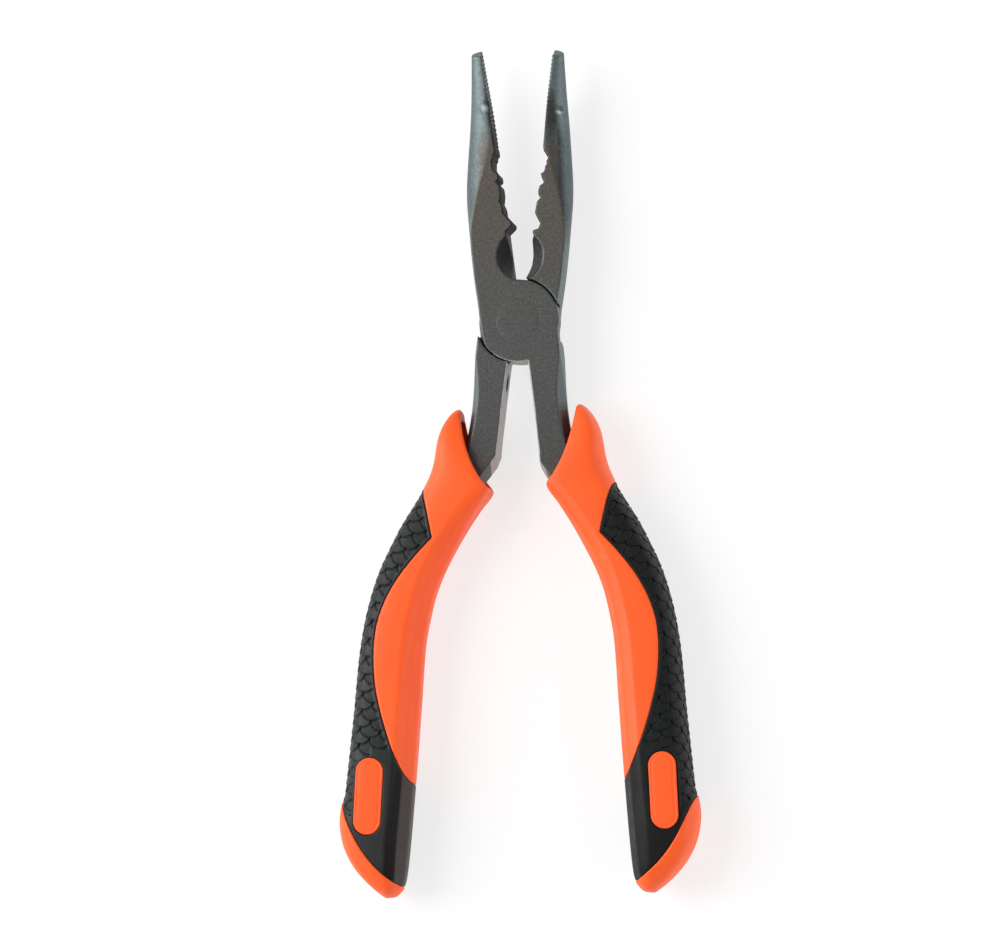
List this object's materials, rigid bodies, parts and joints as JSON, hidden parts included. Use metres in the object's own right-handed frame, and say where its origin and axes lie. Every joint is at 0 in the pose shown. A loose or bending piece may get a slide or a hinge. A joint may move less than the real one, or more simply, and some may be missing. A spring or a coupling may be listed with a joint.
{
  "type": "bent-nose fishing pliers",
  "caption": "Spring-opened bent-nose fishing pliers with wire crimps, side cutter, flush rivet joint and two-colour grips with hollow hand guards.",
  "frame": {"origin": "on the pivot axis, at the back face of the joint and of the rivet's back head", "axes": "+Y runs from the pivot to the jaw tips, +Z is normal to the joint's front face (the nose bends towards it), +X is to the right seen from the front"},
  "size_m": [0.0977, 0.2289, 0.019],
  "materials": {
    "coated_steel": "fine sparkling grey coating on forged steel",
    "rivet_steel": "same coating as the levers, finely turned",
    "spring_steel": "drawn wire, lightly oiled",
    "orange_shell": "satin moulded orange",
    "black_rubber": "matte soft-touch black with fish-scale relief",
    "orange_badge": "satin moulded orange"
  },
  "bodies": {
    "front": {"front_lever": "coated_steel", "pivot_rivet": "rivet_steel", "return_spring": "spring_steel", "right_grip_shell": "orange_shell", "right_scale_sleeve": "black_rubber", "right_butt_cap": "orange_shell", "right_badge_front": "orange_badge", "right_badge_back": "orange_badge"},
    "rear": {"rear_lever": "coated_steel", "left_grip_shell": "orange_shell", "left_scale_sleeve": "black_rubber", "left_butt_cap": "orange_shell", "left_badge_front": "orange_badge", "left_badge_back": "orange_badge"}
  },
  "joints": [
    {"name": "jaw_pivot", "type": "hinge", "parent": "front", "child": "rear", "pos_m": [0, 0, 0.005], "axis": [0, 0, -1], "range_deg": [-15, 20], "stiffness_Nm_per_rad": 0.6, "deforming": ["return_spring"]}
  ]
}
